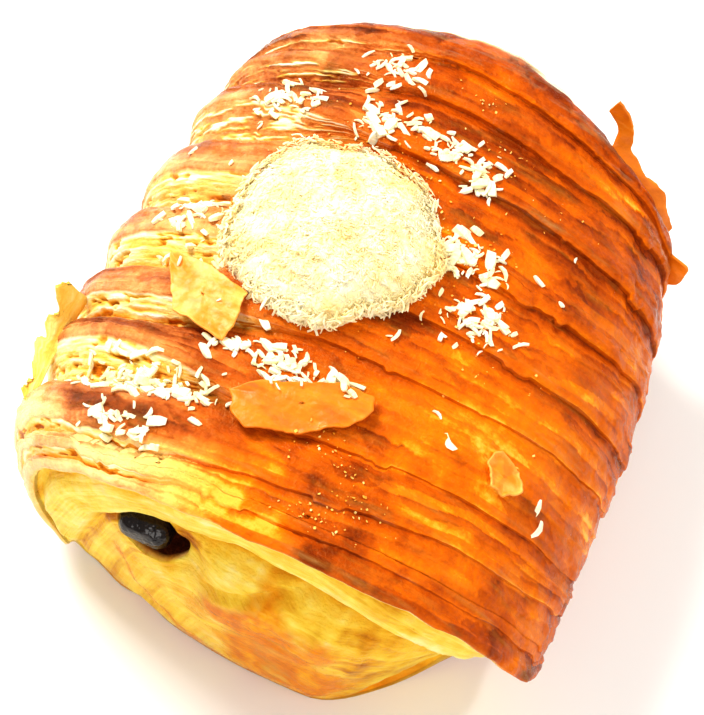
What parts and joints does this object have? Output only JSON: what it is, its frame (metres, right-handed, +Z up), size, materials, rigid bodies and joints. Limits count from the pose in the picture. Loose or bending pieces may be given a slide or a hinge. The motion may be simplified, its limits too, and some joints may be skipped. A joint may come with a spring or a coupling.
{
  "type": "danish pastry",
  "caption": "Laminated pastry roll with overlapping scored crust strips, a chocolate stick through it and a mound of grated coconut on top.",
  "frame": {"origin": "on the surface it rests on, under the middle of its bounding box", "axes": "+Z up, +Y along the roll from the near open face with the chocolate stick to the far one, +X across the roll along the crust strips, to the right as seen from the near face"},
  "size_m": [0.099, 0.1118, 0.0566],
  "materials": {
    "baked_dough": "glossy egg-washed golden-brown crust over pale matt laminated layers",
    "dark_chocolate": "dark satin chocolate",
    "grated_coconut": "matt cream-white grated coconut"
  },
  "bodies": {
    "root": {"pastry": "baked_dough", "chocolate_stick": "dark_chocolate", "coconut_mound": "grated_coconut"}
  },
  "joints": []
}
